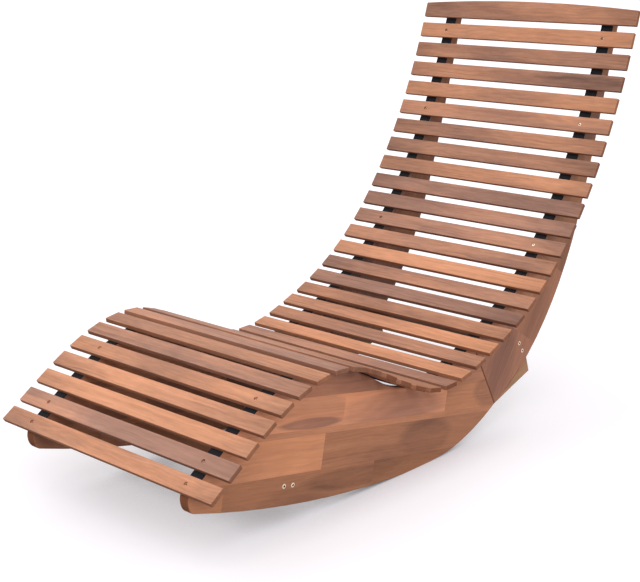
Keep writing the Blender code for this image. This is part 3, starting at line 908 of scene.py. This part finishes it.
def end_plane(node, towards):
    """Middle and direction of the largest face that looks a certain way in the side view."""
    faces = [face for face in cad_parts[node].data.polygons
             if face.normal.dot(towards) > SQUARE_ON]
    largest = max(faces, key=lambda face: face.area)
    return largest.center.copy(), largest.normal.copy()


def lower_edge(node, height):
    """Middle and direction of the face at a height on the curved lower edge of a rail."""
    faces = [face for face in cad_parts[node].data.polygons
             if min(face.normal.y, -face.normal.z) > LEANING and face.area > SMALL_FACE]
    nearest = min(faces, key=lambda face: abs(face.center.z - height))
    return nearest.center.copy(), nearest.normal.copy()


print("hearts drawn by lot, strengths", HEART_STRENGTHS)

# %% Rocker bases
NO_HEART = (0.0, 0.0, 1.0, 1.0, 0.0)
BASE_SLOPE = math.radians(-10.6)
BASE_ROWS = (0.025, 0.096, 0.108, 0.170)
NEAR_BASE_JOINTS = ((-0.603, -0.187), (-0.347,), (-0.520, -0.100), (-0.300, 0.030), (-0.210,))
NEAR_BASE_LOOKS = (
    ((-0.7, 0.65, NO_HEART), (-1.7, 0.65, (-0.25, 0.00, 0.14, 0.022, 0.8)),
     (-1.9, 0.90, NO_HEART)),
    ((1.1, 0.85, NO_HEART), (-0.95, 0.70, (-0.022, 0.058, 0.085, 0.040, 0.7))),
    ((0.7, 0.65, NO_HEART), (0.6, 0.65, NO_HEART), (-0.1, 0.60, NO_HEART)),
    ((2.4, 0.70, (-0.39, 0.119, 0.085, 0.011, 1.9)),
     (2.6, 0.55, (-0.150, 0.131, 0.170, 0.033, 0.75)),
     (0.2, 0.75, (0.195, 0.145, 0.065, 0.040, 0.9))),
    ((0.5, 0.15, NO_HEART), (0.3, 0.40, (-0.08, 0.180, 0.10, 0.010, 0.5))),
)
FAR_BASE_JOINTS = ((-0.520, -0.060), (-0.410, -0.180), (-0.300, 0.090), (-0.260, 0.060),
                   (-0.150,))
JOINT_LEAN = math.radians(29)
TOWARDS_HEAD = Vector((0, math.cos(JOINT_LEAN), math.sin(JOINT_LEAN)))

near_base = GluedBoard(BASE_SLOPE, BASE_ROWS, NEAR_BASE_JOINTS, NEAR_BASE_LOOKS)
far_base = GluedBoard(BASE_SLOPE, BASE_ROWS, FAR_BASE_JOINTS,
                      any_looks(BASE_ROWS, FAR_BASE_JOINTS))
for (side_name, side), board in zip(SIDES, (near_base, far_base)):
    node = "base_panel_" + side_name
    base = add_board(node, "rocker_base_" + side_name, board, board_wood,
                     -side * X_WAY, end_plane(node, TOWARDS_HEAD))
    print(base.name, len(base.data.polygons), "faces,", len(board.blocks), "blocks")

# %% Back rails
RAIL_SLOPE = math.radians(58)
RAIL_ROWS = (-0.060, -0.005)
RAIL_JOINTS = ((0.352, 0.53), (0.45, 0.80), (0.38, 0.72))
NEAR_RAIL_LOW_ROW = [(-0.40, 0.22, (0.262, -0.140, 0.075, 0.040, 0.5)),
                     (-0.45, 0.60, NO_HEART), (-1.8, 0.95, NO_HEART)]
PLATE_HEIGHT = 0.112

near_looks = any_looks(RAIL_ROWS, RAIL_JOINTS)
near_looks[0] = NEAR_RAIL_LOW_ROW
far_looks = any_looks(RAIL_ROWS, RAIL_JOINTS)
for (side_name, side), looks in zip(SIDES, (near_looks, far_looks)):
    board = GluedBoard(RAIL_SLOPE, RAIL_ROWS, RAIL_JOINTS, looks)
    node = "back_rail_" + side_name
    rail = add_board(node, "back_post_" + side_name, board, board_wood,
                     -side * X_WAY, end_plane(node, -TOWARDS_HEAD),
                     lower_edge(node, PLATE_HEIGHT))
    print(rail.name, len(rail.data.polygons), "faces,", len(board.blocks), "blocks")

# %% [markdown]
# ## Plates and cross rails
# A plate is let into the inner face of each frame across the joint, and two rails tie the
# frames together. Each is one plain stick of wood, so it is a glued board with one block. The
# grain of a cross rail runs along X, and its block is given that direction.

# %% Plates at the joints and cross rails
PLATE_SLOPE = math.radians(18.2)
STICK_TONE, STICK_WARMTHS = 0.0, (0.3, 0.7)


def plain_stick(slope):
    look = (STICK_TONE, draw(*STICK_WARMTHS), NO_HEART)
    return GluedBoard(slope, (), ((),), [[look]])


for side_name, side in SIDES:
    add_board("splice_plate_" + side_name, "joint_plate_" + side_name, plain_stick(PLATE_SLOPE),
              plate_wood, -side * X_WAY)
for end_name in ("front", "rear"):
    stick = plain_stick(0.0)
    stick.blocks = [(X_WAY, *stick.blocks[0][1:])]
    add_board(end_name + "_cross_rail", "tie_rail_" + end_name, stick, rail_wood,
              -Z_WAY)
print("plates 2, cross rails 2")

# %% [markdown]
# ## Webbing
# Two black straps of woven plastic lie under the slats, along the edge of each frame, and
# show as dark patches in every gap. A strap is a flat strip 30 mm wide with rounded edges. A
# cloth simulation would gain nothing, because the slats hold it flat and taut, so the strip is
# laid directly: flat under each slat, and straight across each gap.

# %% Webbing material
WARP_WIDTH, PICK_WIDTH = 0.0019, 0.0024
FUZZ_SIZE = (300.0, 900.0, 2.0)
LOW_YARN, HIGH_YARN = (0.004, 0.004, 0.006, 1.0), (0.016, 0.017, 0.022, 1.0)
LOW_YARN_ROUGHNESS, HIGH_YARN_ROUGHNESS = 0.75, 0.55
WEAVE_STRENGTH, WEAVE_DEPTH = 0.6, 0.0004
WEBBING_GLOSS = 0.15

webbing, tree, shader = new_material("webbing")
weave_place = read_mark(tree, "weave_place", "Vector")
place = lay_node(tree, "ShaderNodeSeparateXYZ", {0: weave_place}).outputs
warp, pick = (maths(tree, "SINE", maths(tree, "MULTIPLY", place[axis], 2 * math.pi / width))
              for axis, width in (("X", WARP_WIDTH), ("Y", PICK_WIDTH)))
yarn = remap(tree, maths(tree, "MULTIPLY", warp, pick), -1.0, 1.0)
tint = add_shares(tree, 0.0, ((yarn, 0.5), (streaks(tree, weave_place, *FUZZ_SIZE), 0.5)))
tree.links.new(mix_colours(tree, tint, LOW_YARN, HIGH_YARN), shader.inputs["Base Color"])
tree.links.new(remap(tree, yarn, 0.0, 1.0, LOW_YARN_ROUGHNESS, HIGH_YARN_ROUGHNESS),
               shader.inputs["Roughness"])
bump = lay_node(tree, "ShaderNodeBump", {"Strength": WEAVE_STRENGTH, "Distance": WEAVE_DEPTH,
                                         "Height": yarn})
tree.links.new(bump.outputs["Normal"], shader.inputs["Normal"])
shader.inputs["Specular IOR Level"].default_value = WEBBING_GLOSS
print("webbing", len(tree.nodes), "nodes")

# %% Strap strips
FIT = 0.0003
STRAP_SETBACK = 0.006
STRAP_THICKNESS = 0.0014
LAND_STEPS = 3
GAP_STEPS = 3
EDGE_STEPS = 4
STRAP_COLUMNS = 10


def strap_line():
    """Middle line of a strap in the side view, as (y, z) points."""
    depth = SLAT_THICKNESS / 2 + FIT + STRAP_THICKNESS / 2
    ends = []
    for number in range(1, SLAT_COUNT + 1):
        place = slat_place(number)
        front = -SLAT_WIDTH / 2 + (STRAP_SETBACK if number == 1 else 0)
        rear = SLAT_WIDTH / 2 - (STRAP_SETBACK if number == SLAT_COUNT else 0)
        ends.extend(place @ Vector((0, y, -depth)) for y in (front, rear))
    points = []
    for index, (here, there) in enumerate(zip(ends[:-1], ends[1:])):
        steps = GAP_STEPS if index % 2 else LAND_STEPS
        points.extend(here.lerp(there, step / steps) for step in range(steps))
    return points + [ends[-1]]


def strap_section(width):
    """Half-rounded edges and flat faces, as (across, up) points round the strap."""
    half, radius = width / 2, STRAP_THICKNESS / 2
    upper = [(x, radius) for x in np.linspace(-half + radius, half - radius, STRAP_COLUMNS + 1)]
    lower = [(-x, -height) for x, height in upper]
    turn = [math.pi / 2 - math.pi * step / EDGE_STEPS for step in range(1, EDGE_STEPS)]
    right = [(half - radius + radius * math.cos(a), radius * math.sin(a)) for a in turn]
    left = [(-x, -height) for x, height in right]
    return upper + right + lower + left


line = strap_line()

# %% Straps in their places
for side_name, side in SIDES:
    low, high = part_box("strap_" + side_name)
    middle_x, strap_width = (low.x + high.x) / 2, high.x - low.x
    section = strap_section(strap_width)
    bm = bmesh.new()
    rings, travelled, marks = [], 0.0, []
    for index, point in enumerate(line):
        before, after = line[max(index - 1, 0)], line[min(index + 1, len(line) - 1)]
        along = (after - before).normalized()
        up = X_WAY.cross(along)
        travelled += (point - before).length
        rings.append([bm.verts.new(point + X_WAY * (middle_x + x) + up * height)
                      for x, height in section])
        marks.extend((x, travelled, height) for x, height in section)
    count = len(section)
    for here, there in zip(rings[:-1], rings[1:]):
        for step in range(count):
            after = (step + 1) % count
            bm.faces.new((here[step], here[after], there[after], there[step]))
    bm.faces.new(rings[0])
    bm.faces.new(rings[-1])
    name = "webbing_strap_" + side_name
    mesh = mesh_from(name, bm)
    mesh.attributes.new("weave_place", "FLOAT_VECTOR", "POINT").data.foreach_set(
        "vector", [value for mark in marks for value in mark])
    mesh.materials.append(webbing)
    mesh.shade_smooth()
    mesh.set_sharp_from_angle(angle=SMOOTH_ANGLE)
    strap = bpy.data.objects.new(name, mesh)
    scene.collection.objects.link(strap)
    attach(strap, "root")
    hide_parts("strap_" + side_name)
    print(name, len(mesh.polygons), "faces")

# %% [markdown]
# ## Screws
# Pairs of socket screws pin the frames to the cross rails, and show as pale rings with a dark
# middle. Smaller countersunk screws hold some of the slats. All are zinc-plated steel, which
# is not a mirror: the plating is faintly mottled, and the sockets are painted dark, which is
# painted shade.

# %% Zinc-plated steel
DULL_ZINC, BRIGHT_ZINC = (0.74, 0.58, 0.42, 1.0), (0.95, 0.80, 0.62, 1.0)
SOCKET_SHADE = (0.035, 0.028, 0.022, 1.0)
MOTTLE_SCALE, MOTTLE_DETAIL, MOTTLE_SPAN = 900.0, 3.0, (0.3, 0.7)
ZINC_ROUGHNESS = (0.25, 0.45)

zinc, tree, shader = new_material("zinc_plated_steel")
spot = lay_node(tree, "ShaderNodeTexCoord").outputs["Object"]
sockets = {"Vector": spot, "Scale": MOTTLE_SCALE, "Detail": MOTTLE_DETAIL}
mottle = lay_node(tree, "ShaderNodeTexNoise", sockets).outputs["Fac"]
plating = mix_colours(tree, mottle, DULL_ZINC, BRIGHT_ZINC)
# The sockets are darkened: painted shade.
socket_shaded = mix_colours(tree, read_mark(tree, "recess"), plating, SOCKET_SHADE)
tree.links.new(socket_shaded, shader.inputs["Base Color"])
tree.links.new(remap(tree, mottle, *MOTTLE_SPAN, *ZINC_ROUGHNESS), shader.inputs["Roughness"])
shader.inputs["Metallic"].default_value = 1.0
print("zinc", len(tree.nodes), "nodes")

# %% Screw shapes
SCREW_SIDES = 48
HEXAGON = 6
SOCKET_RINGS = 2
FRAME_SCREW_PROFILE = (
    (0.0030, -0.0580, ROUND), (0.0030, -0.0055, ROUND), (0.0047, -0.0055, ROUND),
    (0.0050, -0.0050, ROUND), (0.0050, -0.0009, ROUND), (0.0048, -0.0005, ROUND),
    (0.0044, -0.0003, ROUND),
    (0.0026, -0.0003, HEXAGON), (0.0024, -0.0006, HEXAGON), (0.0024, -0.0036, HEXAGON),
)
SLAT_SCREW_PROFILE = (
    (0.0008, -0.0300, ROUND), (0.0019, -0.0270, ROUND), (0.0019, -0.0040, ROUND),
    (0.0036, -0.0010, ROUND), (0.0037, -0.0008, ROUND), (0.0034, -0.0006, ROUND),
    (0.0018, -0.0005, HEXAGON), (0.0016, -0.0007, HEXAGON), (0.0015, -0.0022, HEXAGON),
)


def screw_mesh(name, profile):
    bm = bmesh.new()
    turned(bm, profile, SCREW_SIDES)
    mesh = mesh_from(name, bm)
    outside = SCREW_SIDES * (len(profile) - SOCKET_RINGS)
    recess = [0.0] * outside + [1.0] * SCREW_SIDES * SOCKET_RINGS
    mesh.attributes.new("recess", "FLOAT", "POINT").data.foreach_set("value", recess)
    mesh.materials.append(zinc)
    mesh.shade_smooth()
    mesh.set_sharp_from_angle(angle=SMOOTH_ANGLE)
    return mesh


def add_screw(name, mesh, place, node=None):
    screw = bpy.data.objects.new(name, mesh)
    scene.collection.objects.link(screw)
    screw.matrix_world = place
    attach(screw, "root")
    if node:
        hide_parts(node)


frame_screw = screw_mesh("frame_screw", FRAME_SCREW_PROFILE)
slat_screw = screw_mesh("slat_screw", SLAT_SCREW_PROFILE)
print("screw faces", len(frame_screw.polygons), len(slat_screw.polygons))

# %% Screws in their places
frame_screws = [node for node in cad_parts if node.startswith("frame_screw_")]
for node in sorted(frame_screws):
    low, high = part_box(node)
    side = 1 if low.x > 0 else -1
    face_x = (high.x if side > 0 else low.x) + side * FIT
    place = Matrix.Translation((face_x, (low.y + high.y) / 2, (low.z + high.z) / 2))
    place @= Matrix.Rotation(side * math.pi / 2, 4, "Y")
    add_screw(node.replace("frame_screw", "socket_screw"), frame_screw, place, node)
for number in SCREWED_SLATS:
    for side_name, side in SIDES:
        head = SLAT_THICKNESS / 2 - screw_sink(number, side_name)
        place = slat_place(number) @ Matrix.Translation((side * FRAME_OFFSET, 0, head))
        place @= Matrix.Rotation(draw(0, math.pi), 4, "Z")
        node = f"slat_screw_{number:02d}_{side_name}"
        add_screw(f"countersunk_screw_{number:02d}_{side_name}", slat_screw, place,
                  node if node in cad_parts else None)
print("frame screws", len(frame_screws), "slat screws", 2 * len(SCREWED_SLATS))
